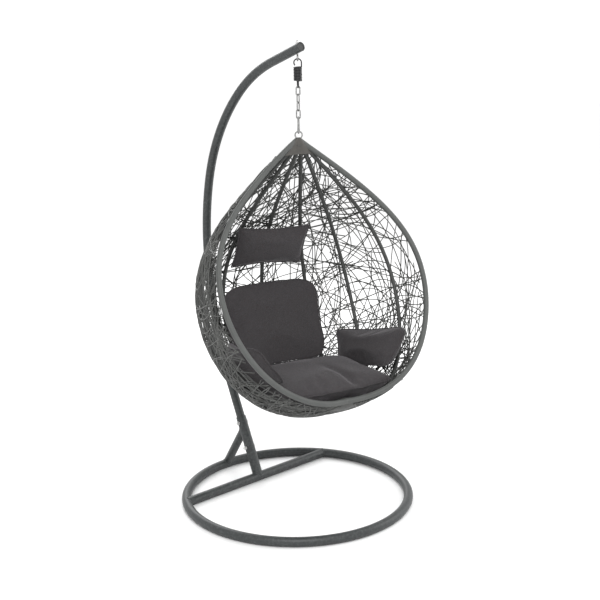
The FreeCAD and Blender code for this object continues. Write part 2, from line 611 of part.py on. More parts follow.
def make_snap_hook(levels):
    """The pear-shaped snap hook, open on one side, and the sprung gate that closes it."""
    top_radius = size("snap_top_radius")
    low_radius = size("snap_low_radius")
    span = size("snap_pitch") - top_radius - low_radius
    tilt = math.asin((low_radius - top_radius) / span)
    upper = V(0, span / 2, 0)
    lower = V(0, -span / 2, 0)
    side = V(math.cos(tilt), math.sin(tilt), 0)
    mirror = V(-side.x, side.y, 0)
    body = new_body("SnapBody")
    spine = sketch_on(body, "XZ_Plane", "SnapLine")
    spine_top = upper + side * top_radius
    spine_low = lower + side * low_radius
    gate_top = upper + mirror * top_radius
    gate_low = lower + mirror * low_radius
    gate_way = (gate_low - gate_top).normalize()
    nose = gate_low - gate_way * 6
    top_arc = Part.ArcOfCircle(Part.Circle(upper, Z_AXIS, top_radius), tilt, math.pi - tilt)
    low_arc = Part.ArcOfCircle(Part.Circle(lower, Z_AXIS, low_radius), math.pi - tilt, 2 * math.pi + tilt)
    for line in (Part.LineSegment(nose, gate_low), low_arc, Part.LineSegment(spine_low, spine_top), top_arc):
        spine.addGeometry(line)
    for first, second in ((0, 1), (1, 2), (2, 3)):
        spine.addConstraint(Sketcher.Constraint("Coincident", first, 2, second, 1))
    constrain(spine, "Radius", 1, low_radius, formula="Dims.snap_low_radius")
    constrain(spine, "Radius", 3, top_radius, formula="Dims.snap_top_radius")
    doc.recompute()
    section = body.newObject("Sketcher::SketchObject", "SnapSection")
    section.AttachmentSupport = (spine, ["Edge1"])
    section.MapMode = "NormalToEdge"
    section.MapPathParameter = 0
    circle_in(section, size("snap_wire"), "Dims.snap_wire")
    pipe(body, section, spine, "SnapPipe")
    middle = levels["snap_top"] - top_radius - span / 2
    place_on_hook_line(body, str(middle), SNAP_TURN)
    keep("snap_hook", body)

    gap = size("pivot_gap")
    start = size("gate_start")
    length = (nose - gate_top).Length - start - gap
    gate = cylinder("SnapGate", "Dims.snap_wire - 0.5", str(length))
    along = V(gate_way.x, 0, gate_way.y)
    local = FreeCAD.Placement(V(gate_top.x, 0, gate_top.y) + along * start, FreeCAD.Rotation(Z_AXIS, along))
    doc.recompute()
    gate.Placement = body.Placement.multiply(local)
    keep("snap_gate", gate)


def make_top_ring(levels):
    """The steel ring at the basket's apex, with its lower wire held in the crown."""
    ring = doc.addObject("Part::Torus", "TopRing")
    bind(ring, Radius1="Dims.top_ring_radius", Radius2="Dims.top_ring_wire / 2")
    facing = FreeCAD.Rotation(Z_AXIS, size("hardware_turn")).multiply(FreeCAD.Rotation(X_AXIS, 90))
    spot = V(0, size("ring_centre_y") + size("hook_y"), levels["top_ring"])
    ring.Placement = FreeCAD.Placement(spot, facing)
    keep("top_ring", ring)


# ---------------------------------------------------------------- basket

def guide_curve(points):
    """A smooth curve through a guide's stations, with parameter 0 at the apex and 1 at the lip."""
    curve = Part.BSplineCurve()
    count = len(points)
    steps = [k / (count - 1) for k in range(count)]
    curve.interpolate(Points=[V(*point) for point in points], Parameters=steps)
    return curve


rim_curve = guide_curve(RIM_GUIDE)
back_curve = guide_curve(BACK_GUIDE)


def power(number, exponent):
    return math.copysign(abs(number) ** exponent, number)


def egg_point(across, down):
    """A point of the egg, from the hook axis: across is -1 to 1 from rim to rim, down is 0 to 1."""
    rim = rim_curve.value(down)
    back = back_curve.value(down)
    angle = across * math.pi / 2
    exponent = 2 / size("section_power")
    middle = V(0, rim.y, rim.z)
    return middle + V(rim.x, 0, 0) * power(math.sin(angle), exponent) + (back - middle) * power(
        max(math.cos(angle), 0), exponent)


def egg_normal(across, down):
    """The outward normal of the egg at a point."""
    step = 1e-3
    left = egg_point(max(across - step, -1), down)
    right = egg_point(min(across + step, 1), down)
    above = egg_point(across, max(down - step, 0))
    below = egg_point(across, min(down + step, 1))
    return (right - left).cross(above - below).normalize() * -1


def egg_layer(across, down, out):
    """A point at a distance outside the egg (negative is inside), from the hook axis."""
    point = egg_point(across, down)
    return point + egg_normal(across, down) * out if out else point


def lining_at(x, z, out):
    """Where an egg layer has a given x and z at the back of the basket, and its outward normal there."""
    across, down = x / 500, (1430 - z) / 1150
    step = 1e-3
    for _ in range(12):
        point = egg_layer(across, down, out)
        by_across = (egg_layer(across + step, down, out) - point) / step
        by_down = (egg_layer(across, down + step, out) - point) / step
        miss_x, miss_z = x - point.x, z - point.z
        area = by_across.x * by_down.z - by_down.x * by_across.z
        across += (miss_x * by_down.z - miss_z * by_down.x) / area
        down += (miss_z * by_across.x - miss_x * by_across.z) / area
    return egg_layer(across, down, out), egg_normal(across, down)


def basket_frame():
    """The basket's own frame: on the hook axis, turned to its rest position."""
    spot = V(0, size("ring_centre_y") + size("hook_y"), 0)
    return FreeCAD.Placement(spot, FreeCAD.Rotation(Z_AXIS, size("basket_turn")))


def in_basket(point):
    return basket_frame().multVec(point)


def rod_through(points, diameter):
    """A round rod along a smooth curve through points."""
    curve = Part.BSplineCurve()
    curve.interpolate(Points=points)
    spine = Part.Wire([curve.toShape()])
    first = curve.FirstParameter
    profile = Part.Wire([Part.makeCircle(diameter / 2, curve.value(first), curve.tangent(first)[0])])
    return spine.makePipeShell([profile], True, False)


def solid_between(inner, outer):
    """A closed solid between two smooth surfaces, each through a grid of points of the same size."""
    surfaces = []
    for grid in (inner, outer):
        surface = Part.BSplineSurface()
        surface.interpolate(grid)
        surfaces.append(surface)
    faces = [surface.toShape() for surface in surfaces]
    u_low, u_high, v_low, v_high = surfaces[0].bounds()
    for across_u, value in ((True, u_low), (True, u_high), (False, v_low), (False, v_high)):
        edges = [(surface.uIso(value) if across_u else surface.vIso(value)).toShape() for surface in surfaces]
        faces += Part.makeRuledSurface(edges[0], edges[1]).Faces
    shell = Part.makeShell(faces)
    shell.sewShape(0.01)
    solid = Part.makeSolid(shell)
    if solid.Volume < 0:
        solid.reverse()
    return solid


def largest(shape):
    return max(shape.Solids, key=lambda solid: solid.Volume)


def solid_piece(label, shape):
    thing = doc.addObject("Part::Feature", label)
    thing.Shape = shape
    return keep(label, thing)


def make_crown():
    """The wrapped gusset that gathers rim and ribs under the top ring."""
    body = new_body("CrownBody")
    layers = []
    for name, height, half_x, y_low, y_high in CROWN_LAYERS:
        sketch = sketch_on(body, "XY_Plane", name, lift=f"Dims.{height} - Dims.crown_base_z")
        corners = [V(-half_x, y_low, 0), V(half_x, y_low, 0), V(half_x, y_high, 0), V(-half_x, y_high, 0)]
        for k in range(4):
            sketch.addGeometry(Part.LineSegment(corners[k], corners[(k + 1) % 4]))
        for k in range(4):
            sketch.addConstraint(Sketcher.Constraint("Coincident", k, 2, (k + 1) % 4, 1))
        layers.append(sketch)
    loft = body.newObject("PartDesign::AdditiveLoft", "CrownLoft")
    loft.Profile = layers[0]
    loft.Sections = [layers[1]]
    place(body, y="Dims.ring_centre_y + Dims.hook_y", z="Dims.crown_base_z", axis=Z_AXIS,
          angle="Dims.basket_turn")
    return keep("crown_wrap", cut("CrownRingSeat", body, pieces["top_ring"]))


def make_lip_wrap(rim):
    """The wrapped gusset under the front lip, which takes the ribs' lower ends."""
    gusset = doc.addObject("Part::Ellipsoid", "LipGusset")
    bind(gusset, Radius2="Dims.lip_wrap_width / 2", Radius3="Dims.lip_wrap_depth / 2")
    bind(gusset, Radius1="Dims.lip_wrap_height / 2")
    gusset.Placement = basket_frame().multiply(
        FreeCAD.Placement(V(0, size("lip_wrap_y"), size("lip_wrap_z")),
                          FreeCAD.Rotation(X_AXIS, size("lip_wrap_lean"))))
    gusset.Visibility = False
    return keep("lip_wrap", cut("LipGussetFitted", gusset, rim))


def make_basket():
    """Crown, rim, lip gusset, ribs and weave; the rods end in the two gussets."""
    crown = make_crown()
    doc.recompute()
    stations = [RIM_START + (1 - RIM_START) * k / 12 for k in range(13)]
    side = [in_basket(egg_layer(1, down, 0)) for down in stations]
    other = [in_basket(egg_layer(-1, down, 0)) for down in reversed(stations[:-1])]
    rim = largest(rod_through(side + other, size("rim_tube")).cut(crown.Shape))
    rim_piece = solid_piece("basket_rim", rim)
    lip_wrap = make_lip_wrap(rim_piece)
    doc.recompute()

    for label, across, start in RIB_PLACES:
        stations = [start + (RIB_LOW_END - start) * k / 12 for k in range(13)]
        rod = rod_through([in_basket(egg_layer(across, down, 0)) for down in stations], size("rib_rod"))
        solid_piece(label, largest(rod.cut(crown.Shape).cut(lip_wrap.Shape)))

    inner_out = size("rib_rod") / 2 + size("weave_gap")
    outer_out = inner_out + size("weave_thickness")
    rows, columns = 13, 17
    across_steps = [WEAVE_ACROSS * (2 * k / (columns - 1) - 1) for k in range(columns)]
    top, bottom = WEAVE_DOWN
    down_steps = [top + (bottom - top) * k / (rows - 1) for k in range(rows)]
    layers = []
    for out in (inner_out, outer_out):
        layers.append([[in_basket(egg_layer(across, down, out)) for across in across_steps]
                       for down in down_steps])
    solid_piece("weave_shell", solid_between(layers[0], layers[1]))


# ---------------------------------------------------------------- cushions

CUSHION_STEPS = 9


def puffed(place_at, thickness):
    """A cushion: two crowned faces and the narrow seam band between their edges.

    place_at(u, v) gives the middle surface's point and its normal, in the basket's own frame, for u
    and v from -1 to 1, and thickness is the half thickness in the middle.
    """
    angles = [math.pi / 2 * (2 * k / (CUSHION_STEPS - 1) - 1) for k in range(CUSHION_STEPS)]
    seam = size("seam_band") / 2
    front, back = [], []
    for a in angles:
        front_row, back_row = [], []
        for b in angles:
            point, normal = place_at(math.sin(a), math.sin(b))
            rise = seam + (thickness - seam) * (max(math.cos(a), 0) * max(math.cos(b), 0)) ** 0.6
            front_row.append(in_basket(point + normal * rise))
            back_row.append(in_basket(point - normal * rise))
        front.append(front_row)
        back.append(back_row)
    return solid_between(back, front)


def make_back_cushion(seat):
    """The back cushion, which follows the basket's inside at an even depth and stands on the seat."""
    half = size("back_cushion_half")
    depth = size("rib_rod") / 2 + size("cushion_gap") + half

    def place_at(u, v):
        narrow = 1 + 0.07 * v
        x = size("back_x") + size("back_half_width") * u * narrow * (1 - 0.16 * v**4)
        z = size("back_z") + size("back_half_height") * v * (1 - 0.16 * u**4)
        return lining_at(x, z, -depth)
    back = largest(puffed(place_at, half).cut(seat))
    solid_piece("back_cushion", back)
    return back


def make_seat_cushion():
    """The thick seat, cut to the basket where it rests on it."""
    def place_at(u, v):
        x = size("seat_half_width") * u * math.sqrt(max(1 - 0.35 * v * v, 0))
        y = size("seat_y") + size("seat_half_depth") * v * math.sqrt(1 - 0.3 * u * u)
        z = size("seat_z") + size("seat_front_lift") * min(v, 0) ** 2 + size("seat_back_lift") * max(v, 0) ** 2
        return V(x, y, z), Z_AXIS
    seat = puffed(place_at, size("seat_half_height"))
    for label in ("weave_shell", "lip_wrap", "basket_rim", "rib_centre", "rib_left_1", "rib_right_1",
                  "rib_left_2", "rib_right_2", "rib_left_3", "rib_right_3"):
        seat = largest(seat.cut(pieces[label].Shape))
    solid_piece("seat_cushion", seat)
    return seat


def make_arm_cushion(label, side, middle, neighbours):
    """A side cushion between seat and basket; side is 1 for the +X one, middle its middle's station."""
    half = size("arm_cushion_half")
    depth = size("rib_rod") / 2 + size("cushion_gap") + half

    def place_at(u, v):
        across = side * (0.68 + 0.30 * u + 0.02 * v) * (1 - 0.05 * v**4 * u * (u > 0))
        down = middle + 0.05 * u - 0.068 * v * (1 - 0.14 * u**4) - 0.01 * u * v
        return egg_layer(across, down, -depth), egg_normal(across, down)
    arm = puffed(place_at, half)
    for neighbour in neighbours:
        arm = largest(arm.cut(neighbour))
    solid_piece(label, arm)


def make_head_pillow():
    lean = math.radians(size("pillow_lean"))
    roll = math.radians(size("pillow_roll"))
    up = V(math.sin(roll), -math.sin(lean) * math.cos(roll), math.cos(lean) * math.cos(roll))
    facing = V(0, -math.cos(lean), -math.sin(lean))
    sideways = up.cross(facing)
    middle = V(size("pillow_x"), size("pillow_y"), size("pillow_z"))

    def place_at(u, v):
        wide = size("pillow_half_width") * u * (1 - 0.04 * (1 - v * v))
        high = size("pillow_half_height") * v * (1 - 0.06 * (1 - u * u))
        return middle + sideways * wide + up * high, facing
    solid_piece("head_pillow", puffed(place_at, size("pillow_half_depth")))


def make_cushions():
    """Seat, back, two arms and the head pillow, as plain crowned solids."""
    seat = make_seat_cushion()
    back = make_back_cushion(seat)
    make_arm_cushion("arm_cushion_left", 1, size("arm_left_down"), (seat, back))
    make_arm_cushion("arm_cushion_right", -1, size("arm_right_down"), (seat, back))
    make_head_pillow()


# ---------------------------------------------------------------- build and write

def build():
    make_base_ring()
    make_cross_bar()
    make_lower_post()
    make_rear_brace()
    corner, tip = make_mast()
    make_joint_fasteners()
    make_arm_end_cap(corner, tip)
    make_eye_bolt(corner, tip)
    levels = hook_levels()
    make_spring_end("spring_top_hook", levels["top_hook"], levels["top_turn"], 1, 0)
    make_spring_coil(levels)
    make_spring_end("spring_bottom_hook", levels["low_hook"], levels["low_turn"], -1, BOTTOM_HOOK_TURN)
    for number, turn in enumerate(LINK_TURNS, start=1):
        make_chain_link(number, levels[f"link_{number}_top"], turn)
    make_snap_hook(levels)
    make_top_ring(levels)
    make_basket()
    make_cushions()
    doc.recompute()


def check_and_write():
    """Stop on any failed feature, then write each sub-part's solids."""
    for thing in doc.Objects:
        if "Invalid" in thing.State or "Error" in thing.State:
            raise RuntimeError(f"{thing.Name} ({thing.Label}) failed: {thing.State}")
    os.makedirs("parts", exist_ok=True)
    for label, thing in pieces.items():
        shape = thing.Shape
        if shape.isNull() or not shape.isValid() or shape.Volume <= 0:
            raise RuntimeError(f"{label} has no valid solid")
        shape.exportStep(f"parts/{label}.step")


build()
check_and_write()
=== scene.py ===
"""Hanging egg chair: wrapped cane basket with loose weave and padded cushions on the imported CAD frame."""

import math
import random

import bpy
import numpy as np
from mathutils import Matrix, Vector
from mathutils.kdtree import KDTree


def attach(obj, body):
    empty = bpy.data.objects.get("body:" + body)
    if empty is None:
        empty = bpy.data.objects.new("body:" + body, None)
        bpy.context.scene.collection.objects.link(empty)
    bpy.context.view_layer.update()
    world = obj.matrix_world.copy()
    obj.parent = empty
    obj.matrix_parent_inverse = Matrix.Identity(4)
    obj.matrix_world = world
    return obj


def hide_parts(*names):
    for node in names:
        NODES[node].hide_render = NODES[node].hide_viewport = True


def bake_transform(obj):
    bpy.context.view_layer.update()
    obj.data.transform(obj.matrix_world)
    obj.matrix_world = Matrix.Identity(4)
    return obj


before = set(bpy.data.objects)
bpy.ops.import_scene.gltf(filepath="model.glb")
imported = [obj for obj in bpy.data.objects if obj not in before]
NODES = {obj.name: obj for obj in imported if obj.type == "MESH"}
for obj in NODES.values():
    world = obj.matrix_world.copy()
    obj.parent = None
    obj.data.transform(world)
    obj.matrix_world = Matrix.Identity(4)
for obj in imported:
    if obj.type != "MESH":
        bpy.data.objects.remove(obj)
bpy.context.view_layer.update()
scene = bpy.context.scene

HOOK_Y = -0.086
SEED = 11


# ---------------------------------------------------------------- camera

def make_camera():
    """The main viewpoint, as position, heading, pitch, pan and roll."""
    place = (-3.173, -3.487, 2.0595)
    heading, pitch, pan, roll = -0.7448, 0.2446, 0.0049, -0.0155
    forward = Vector((-math.sin(heading), math.cos(heading), 0))
    right = Vector((math.cos(heading), math.sin(heading), 0))
    up = Vector((0, 0, 1))
    look = forward * math.cos(pitch) - up * math.sin(pitch)
    above = forward * math.sin(pitch) + up * math.cos(pitch)
    look_panned = look * math.cos(pan) + right * math.sin(pan)
    right_panned = right * math.cos(pan) - look * math.sin(pan)
    right_rolled = right_panned * math.cos(roll) + above * math.sin(roll)
    up_rolled = above * math.cos(roll) - right_panned * math.sin(roll)
    data = bpy.data.cameras.new("Camera")
    data.sensor_width = 36
    data.lens = 68.79
    camera = bpy.data.objects.new("Camera", data)
    scene.collection.objects.link(camera)
    turn = Matrix((right_rolled, up_rolled, -look_panned)).transposed()
    camera.matrix_world = Matrix.Translation(place) @ turn.to_4x4()
    scene.camera = camera


make_camera()


# ---------------------------------------------------------------- materials

def new_material(name, colour, rough, metal=0.0):
    material = bpy.data.materials.new(name)
    material.use_nodes = True
    shader = material.node_tree.nodes["Principled BSDF"]
    shader.inputs["Base Color"].default_value = (*colour, 1)
    shader.inputs["Roughness"].default_value = rough
    shader.inputs["Metallic"].default_value = metal
    return material, shader


class Nodes:
    """Short calls for wiring a material's nodes."""

    def __init__(self, material):
        self.tree = material.node_tree
        self.shader = self.tree.nodes["Principled BSDF"]
        self.place = self.tree.nodes.new("ShaderNodeTexCoord").outputs["Object"]

    def add(self, kind, **inputs):
        node = self.tree.nodes.new(kind)
        for name, value in inputs.items():
            socket = node.inputs[name.replace("_", " ")]
            if isinstance(value, bpy.types.NodeSocket):
                self.tree.links.new(value, socket)
            else:
                socket.default_value = value
        return node

    def noise(self, scale, detail=3.0, rough=0.5, place=None):
        return self.add("ShaderNodeTexNoise", Vector=place or self.place, Scale=scale, Detail=detail,
                        Roughness=rough).outputs["Fac"]

    def ramp(self, value, stops):
        node = self.add("ShaderNodeValToRGB", Fac=value)
        points = node.color_ramp.elements
        while len(points) < len(stops):
            points.new(0.5)
        for point, (position, colour) in zip(points, stops):
            point.position = position
            point.color = (*colour, 1)
        return node.outputs["Color"]

    def math(self, operation, a, b=0.0, c=0.0):
        node = self.tree.nodes.new("ShaderNodeMath")
        node.operation = operation
        for socket, value in zip(node.inputs, (a, b, c)):
            if isinstance(value, bpy.types.NodeSocket):
                self.tree.links.new(value, socket)
            else:
                socket.default_value = value
        return node.outputs[0]

    def mix(self, share, a, b, blend="MIX"):
        node = self.tree.nodes.new("ShaderNodeMix")
        node.data_type = "RGBA"
        node.blend_type = blend
        for socket, value in zip((node.inputs[0], node.inputs[6], node.inputs[7]), (share, a, b)):
            if isinstance(value, bpy.types.NodeSocket):
                self.tree.links.new(value, socket)
            else:
                socket.default_value = value if isinstance(value, float) else (*value, 1)
        return node.outputs[2]

    def bump(self, height, strength, distance, below=None):
        node = self.add("ShaderNodeBump", Height=height, Strength=strength, Distance=distance)
        if below:
            self.tree.links.new(below, node.inputs["Normal"])
        return node.outputs["Normal"]

    def feed(self, **inputs):
        for name, socket in inputs.items():
            self.tree.links.new(socket, self.shader.inputs[name.replace("_", " ")])


def powder_coat():
    """Anthracite powder coat with a cloudy grey-green mottle and a fine orange peel."""
    material, _ = new_material("powder_coat", (0.05, 0.055, 0.055), 0.42)
    n = Nodes(material)
    cloud = n.noise(95, 5, 0.62)
    fleck = n.noise(420, 2, 0.5)
    colour = n.ramp(cloud, [(0.34, (0.011, 0.013, 0.014)), (0.52, (0.021, 0.025, 0.026)),
                            (0.7, (0.05, 0.056, 0.055))])
    colour = n.mix(n.math("MULTIPLY", fleck, 0.12), colour, (0.14, 0.145, 0.14))
    rough = n.math("MULTIPLY_ADD", cloud, 0.22, 0.34)
    peel = n.bump(n.noise(700, 2, 0.5), 0.25, 0.0004)
    n.feed(Base_Color=colour, Roughness=rough, Normal=n.bump(cloud, 0.2, 0.0006, peel))
    return material


def cane(name, dark, light):
    """Round synthetic cane: a soft satin grey that varies along each strand."""
    material, _ = new_material(name, light, 0.5)
    n = Nodes(material)
    tone = n.add("ShaderNodeAttribute")
    tone.attribute_name = "tone"
    patch = n.noise(38, 4, 0.6)
    share = n.math("ADD", n.math("MULTIPLY", tone.outputs["Fac"], 0.65), n.math("MULTIPLY", patch, 0.5))
    colour = n.ramp(share, [(0.15, dark), (0.85, light)])
    grain = n.noise(900, 2, 0.5)
    rough = n.math("MULTIPLY_ADD", patch, 0.25, 0.36)
    n.feed(Base_Color=colour, Roughness=rough, Normal=n.bump(grain, 0.2, 0.0003))
    return material


def cushion_cloth():
    """Charcoal melange: a fine plain weave with lighter, darker and brown threads."""
    material, shader = new_material("cushion_cloth", (0.06, 0.057, 0.06), 0.92)
    shader.inputs["Sheen Weight"].default_value = 0.2
    shader.inputs["Sheen Roughness"].default_value = 0.45
    shader.inputs["Sheen Tint"].default_value = (0.75, 0.73, 0.76, 1)
    shader.inputs["Specular IOR Level"].default_value = 0.2
    n = Nodes(material)
    stretch = n.add("ShaderNodeMapping", Vector=n.place, Scale=(1, 1, 5))
    across = n.noise(260, 2, 0.6, stretch.outputs["Vector"])
    stretch_other = n.add("ShaderNodeMapping", Vector=n.place, Scale=(5, 5, 1))
    along = n.noise(200, 2, 0.6, stretch_other.outputs["Vector"])
    blotch = n.noise(22, 4, 0.65)
    thread = n.math("ADD", n.math("MULTIPLY", across, 0.5), n.math("MULTIPLY", along, 0.5))
    colour = n.ramp(thread, [(0.36, (0.02, 0.0185, 0.02)), (0.5, (0.04, 0.0375, 0.0395)),
                             (0.64, (0.078, 0.074, 0.077))])
    colour = n.mix(n.math("MULTIPLY", blotch, 0.3), colour, (0.045, 0.04, 0.041))
    speck = n.noise(330, 1, 0.4)
    colour = n.mix(n.ramp(speck, [(0.66, (0, 0, 0)), (0.72, (0.8, 0.8, 0.8))]), colour, (0.045, 0.022, 0.02))
    fine = n.noise(1500, 1, 0.5)
    n.feed(Base_Color=colour, Normal=n.bump(fine, 0.5, 0.0006, n.bump(thread, 0.5, 0.0008)))
    return material


def plated(name, colour, rough, dull):
    """Zinc-plated steel with a faint cloudy tarnish."""
    material, _ = new_material(name, colour, rough, 1.0)
    n = Nodes(material)
    cloud = n.noise(160, 4, 0.6)
    shade = n.ramp(cloud, [(0.3, dull), (0.65, colour)])
    n.feed(Base_Color=shade, Roughness=n.math("MULTIPLY_ADD", cloud, 0.3, rough - 0.1),
           Normal=n.bump(n.noise(500, 2), 0.1, 0.0002))
    return material


def dark_plain(name, colour, rough, scale):
    """A dark moulded or dipped surface with a light grain."""
    material, _ = new_material(name, colour, rough)
    n = Nodes(material)
    grain = n.noise(scale, 3, 0.55)
    light = tuple(min(channel * 1.9, 1) for channel in colour)
    n.feed(Base_Color=n.ramp(grain, [(0.35, colour), (0.75, light)]),
           Roughness=n.math("MULTIPLY_ADD", grain, 0.25, rough - 0.1), Normal=n.bump(grain, 0.2, 0.0003))
    return material


COAT = powder_coat()
CANE = cane("cane", (0.014, 0.0145, 0.0135), (0.075, 0.077, 0.072))
CANE_RIM = cane("cane_rim", (0.025, 0.027, 0.026), (0.075, 0.079, 0.075))
CANE_CROWN = cane("cane_crown", (0.025, 0.023, 0.02), (0.075, 0.07, 0.062))
# Painted shade: the ribs and the hoop get a darker copy of the same cane, standing in for the shade inside
# the basket
CANE_SHADED = cane("cane_rib_shaded", (0.016, 0.017, 0.016), (0.055, 0.057, 0.054))
CLOTH = cushion_cloth()
ZINC = plated("zinc_wire", (0.34, 0.34, 0.335), 0.36, (0.12, 0.12, 0.12))
BRIGHT = plated("zinc_bright", (0.8, 0.8, 0.79), 0.28, (0.5, 0.5, 0.5))
SPRING = dark_plain("spring_coating", (0.008, 0.008, 0.009), 0.42, 300)
PLASTIC = dark_plain("cap_plastic", (0.02, 0.021, 0.021), 0.5, 500)
WELD = dark_plain("weld_paint", (0.04, 0.044, 0.044), 0.45, 260)

for material, names in (
        (COAT, ("base_ring", "cross_bar", "lower_post", "rear_brace", "mast")),
        (BRIGHT, ("joint_bolts", "joint_washers", "joint_nuts", "eye_bolt_washer", "eye_bolt_nut")),
        (PLASTIC, ("arm_end_cap",)),
        (ZINC, ("eye_bolt", "chain_link_1", "chain_link_2", "chain_link_3", "chain_link_4", "snap_hook",
                "snap_gate", "top_ring"))):
    for name in names:
        mesh = NODES[name].data
        mesh.materials.clear()
        mesh.materials.append(material)


# ---------------------------------------------------------------- mesh helpers

def add_piece(name, verts, faces, material, body, tone=None):
    """A mesh object that rides on a body."""
    mesh = bpy.data.meshes.new(name)
    mesh.from_pydata([tuple(v) for v in verts], [], [tuple(f) for f in faces])
    mesh.update()
    mesh.polygons.foreach_set("use_smooth", [True] * len(mesh.polygons))
    mesh.materials.append(material)
    if tone is not None:
        attribute = mesh.attributes.new("tone", "FLOAT", "POINT")
        attribute.data.foreach_set("value", np.asarray(tone, np.float32))
    piece = bpy.data.objects.new(name, mesh)
    scene.collection.objects.link(piece)
    if body:
        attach(piece, body)
    return piece


def resample(points, step):
    """Points at even arc length along a dense polyline."""
    points = np.asarray(points, float)
    lengths = np.concatenate([[0], np.cumsum(np.linalg.norm(np.diff(points, axis=0), axis=1))])
    count = max(int(round(lengths[-1] / step)), 3)
    stations = np.linspace(0, lengths[-1], count + 1)
    return np.stack([np.interp(stations, lengths, points[:, k]) for k in range(3)], axis=1), stations


def frames_along(points, closed=False):
    """A tangent and two turning-free side vectors at each point."""
    if closed:
        tangents = np.roll(points, -1, axis=0) - np.roll(points, 1, axis=0)
    else:
        tangents = np.gradient(points, axis=0)
    tangents /= np.linalg.norm(tangents, axis=1)[:, None]
    side = np.cross(tangents[0], (0.3, 0.5, 0.81))
    sides = np.empty_like(points)
    for k, tangent in enumerate(tangents):
        side = side - tangent * side.dot(tangent)
        side /= np.linalg.norm(side)
        sides[k] = side
    return tangents, sides, np.cross(tangents, sides)


def tube(points, radius, sides=8, closed=False):
    """Vertices and faces of a tube; radius is a number or an array of points by sides."""
    points = np.asarray(points, float)
    _, first, second = frames_along(points, closed)
    angles = np.arange(sides) * 2 * math.pi / sides
    spread = np.broadcast_to(np.asarray(radius, float), (len(points), sides))
    ring = first[:, None] * np.cos(angles)[None, :, None] + second[:, None] * np.sin(angles)[None, :, None]
    verts = (points[:, None] + ring * spread[:, :, None]).reshape(-1, 3)
    rows = len(points) if closed else len(points) - 1
    k, s = np.meshgrid(np.arange(rows), np.arange(sides), indexing="ij")
    after, beside = (k + 1) % len(points), (s + 1) % sides
    faces = np.stack([k * sides + s, k * sides + beside, after * sides + beside, after * sides + s],
                     axis=-1).reshape(-1, 4).tolist()
    if not closed:
        faces.append(list(range(sides))[::-1])
        faces.append([rows * sides + j for j in range(sides)])
    return verts, faces


def join_meshes(parts):
    """Several (verts, faces, tone) as one."""
    verts, faces, tones, offset = [], [], [], 0
    for part_verts, part_faces, tone in parts:
        verts.append(part_verts)
        faces += [[index + offset for index in face] for face in part_faces]
        tones.append(np.full(len(part_verts), tone))
        offset += len(part_verts)
    return np.concatenate(verts), faces, np.concatenate(tones)


def wound_rod(points, radius, pitch, depth, sides, samples=5):
    """A rod wound with round cane: a helical ridge along its whole length."""
    points, stations = resample(points, pitch / samples)
    angles = np.arange(sides) / sides
    phase = (stations[:, None] / pitch + angles[None, :]) % 1
    ridge = np.sqrt(np.clip(1 - (2 * phase - 1) ** 2, 0, 1))
    return tube(points, radius - depth + depth * ridge, sides)


def ridge_height(travel, depth):
    """Height of the wound cane's ridge after some travel along a level winding."""
    phase = (travel / LEVEL_PITCH) % 1
    return depth * math.sqrt(max(1 - (2 * phase - 1) ** 2, 0))


def closed_rings(rows, sides, flip=False):
    """Faces between rows of rings, with both ends closed."""
    faces = []
    for r in range(rows):
        for s in range(sides):
            after, beside = (r + 1) * sides, (s + 1) % sides
            face = [r * sides + s, r * sides + beside, after + beside, after + s]
            faces.append([face[0]] + face[:0:-1] if flip else face)
    first = list(range(sides))
    last = [rows * sides + s for s in range(sides)]
    faces.append(first if flip else first[::-1])
    faces.append(last[::-1] if flip else last)
    return faces


# ---------------------------------------------------------------- egg surface

RIM_GUIDE = np.array([(0, 0, 1570), (114, -6, 1485), (343, -76, 1287), (458, -183, 1071),
                      (430, -292, 843), (279, -379, 649), (0, -367, 562)]) / 1000
BACK_GUIDE = np.array([(0, 0, 1570), (0, 86, 1428), (0, 299, 1125), (0, 348, 823),
                       (0, 196, 562), (0, -63, 449), (0, -367, 562)]) / 1000
SECTION_POWER = 2.57
BASKET_TURN = math.radians(-14)
RIM_RADIUS = 0.0115
RIB_RADIUS = 0.0085
WIND_PITCH = 0.0052
LEVEL_PITCH = 0.0048
RIM_RIDGE = 0.0011
RIB_RIDGE = 0.0009
CROWN_RIDGE = 0.0012
LIP_RIDGE = 0.0011
RIDGE_BASE = 0.001
RIM_START = 0.035
RIB_END = 0.98
PROBE = 1e-3


def guide(knots):
    """A cubic spline through even stations, parameter 0 to 1."""
    last = len(knots) - 1
    step = 1 / last
    system = np.eye(last + 1)
    right = np.zeros_like(knots)
    for k in range(1, last):
        system[k, k - 1:k + 2] = 1, 4, 1
        right[k] = 3 * (knots[k + 1] - knots[k - 1]) / step
    right[0] = (-11 * knots[0] + 18 * knots[1] - 9 * knots[2] + 2 * knots[3]) / (6 * step)
    right[last] = (11 * knots[-1] - 18 * knots[-2] + 9 * knots[-3] - 2 * knots[-4]) / (6 * step)
    slopes = np.linalg.solve(system, right)

    def value(t):
        t = np.clip(np.asarray(t, float), 0, 1)
        k = np.minimum((t * last).astype(int), last - 1)
        s = (t * last - k)[..., None]
        return ((2 * s**3 - 3 * s**2 + 1) * knots[k] + (s**3 - 2 * s**2 + s) * step * slopes[k]
                + (-2 * s**3 + 3 * s**2) * knots[k + 1] + (s**3 - s**2) * step * slopes[k + 1])
    return value


rim_at = guide(RIM_GUIDE)
back_at = guide(BACK_GUIDE)


def egg_surface(across, down):
    across, down = np.clip(across, -1, 1), np.clip(down, 0, 1)
    rim, back = rim_at(down), back_at(down)
    angle = across * math.pi / 2
    sine = np.copysign(np.abs(np.sin(angle)) ** (2 / SECTION_POWER), np.sin(angle))[..., None]
    cosine = (np.clip(np.cos(angle), 0, 1) ** (2 / SECTION_POWER))[..., None]
    middle = rim * (0, 1, 1)
    return middle + rim * (1, 0, 0) * sine + (back - middle) * cosine


